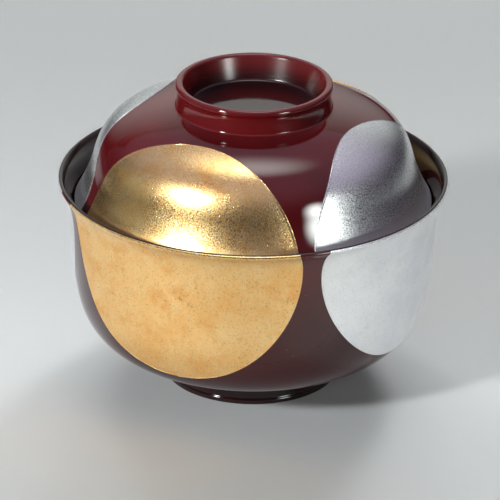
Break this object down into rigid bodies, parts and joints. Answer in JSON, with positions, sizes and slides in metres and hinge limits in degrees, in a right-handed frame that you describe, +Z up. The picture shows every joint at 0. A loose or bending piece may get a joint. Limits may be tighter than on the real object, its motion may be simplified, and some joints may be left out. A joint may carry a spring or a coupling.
{
  "type": "lidded soup bowl",
  "caption": "Lacquered wooden soup bowl on a turned foot with a nested lift-off lid, a ring grip on the lid, and large gold and silver leaf discs round both.",
  "frame": {"origin": "centre of the foot's sole, where the bowl stands on the table", "axes": "+Z up along the axis of the bowl and lid; -Y is the front, between the front gold disc and the right silver disc"},
  "size_m": [0.1282, 0.1282, 0.1029],
  "materials": {
    "turned_wood": "turned, sealed with priming lacquer, hidden under the coats",
    "maroon_lacquer": "polished translucent dark red lacquer",
    "black_lacquer": "polished brown-black lacquer",
    "gold_leaf": "soft brushed leaf with fine flecks",
    "silver_leaf": "soft brushed leaf with fine flecks"
  },
  "bodies": {
    "bowl": {"bowl_core": "turned_wood", "bowl_outer_lacquer": "maroon_lacquer", "bowl_inner_lacquer": "black_lacquer", "foot_recess_lacquer": "black_lacquer", "bowl_gold_leaf_front": "gold_leaf", "bowl_silver_leaf_right": "silver_leaf", "bowl_gold_leaf_back": "gold_leaf", "bowl_silver_leaf_left": "silver_leaf"},
    "lid": {"lid_core": "turned_wood", "lid_outer_lacquer": "maroon_lacquer", "lid_inner_lacquer": "black_lacquer", "lid_gold_leaf_front": "gold_leaf", "lid_silver_leaf_right": "silver_leaf", "lid_gold_leaf_back": "gold_leaf", "lid_silver_leaf_left": "silver_leaf"}
  },
  "joints": [
    {"name": "lid_lift", "type": "slide", "parent": "bowl", "child": "lid", "axis": [0, 0, 1], "range_m": [0, 0.08]}
  ]
}
